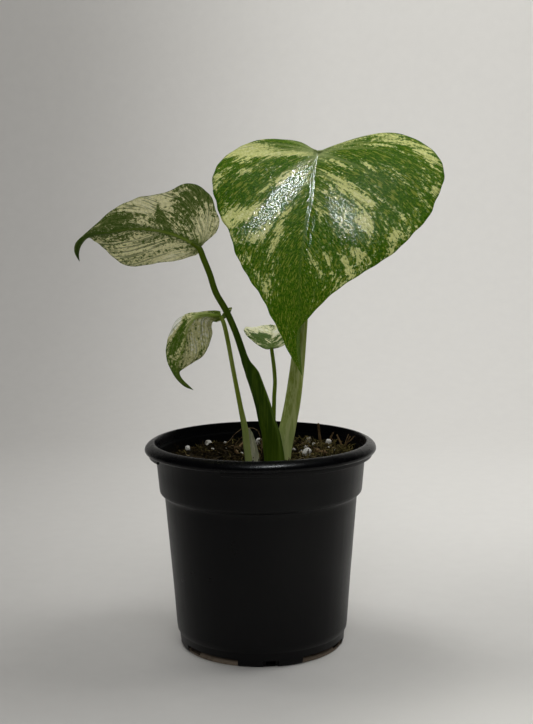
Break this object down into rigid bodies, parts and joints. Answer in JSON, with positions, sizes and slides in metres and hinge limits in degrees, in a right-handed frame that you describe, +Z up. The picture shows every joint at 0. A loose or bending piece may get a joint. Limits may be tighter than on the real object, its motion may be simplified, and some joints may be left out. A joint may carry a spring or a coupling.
{
  "type": "potted variegated monstera",
  "caption": "Young mint-variegated monstera with heart-shaped leaves on sheathed stalks, growing in potting mix in a black plastic nursery pot.",
  "frame": {"origin": "centre of the pot's flat underside", "axes": "+Z up along the pot's axis; the front, which the large leaf faces, is -Y; +X is to the right of that front"},
  "size_m": [0.1844, 0.12, 0.2645],
  "materials": {
    "pot_plastic": "satin black moulded plastic, slightly dusty",
    "potting_mix": "damp dark fibrous bark and peat with perlite",
    "green_blade": "glossy green leaf with cream-yellow flecks",
    "cream_blade": "dull cream leaf underside with green streaks",
    "white_blade": "creamy white young leaf with green streaks",
    "pale_stalk": "satin pale green leaf stalk",
    "dark_stalk": "satin dark green leaf stalk",
    "dry_sheath": "thin dry papery leftover of a leaf sheath"
  },
  "bodies": {
    "root": {"pot": "pot_plastic", "potting_mix": "potting_mix", "large_leaf": "green_blade", "upper_leaf": "cream_blade", "drooping_leaf": "cream_blade", "new_leaf": "white_blade", "large_stalk": "pale_stalk", "upper_stalk": "dark_stalk", "drooping_stalk": "pale_stalk", "new_stalk": "dark_stalk", "papery_sheath": "dry_sheath"}
  },
  "joints": []
}
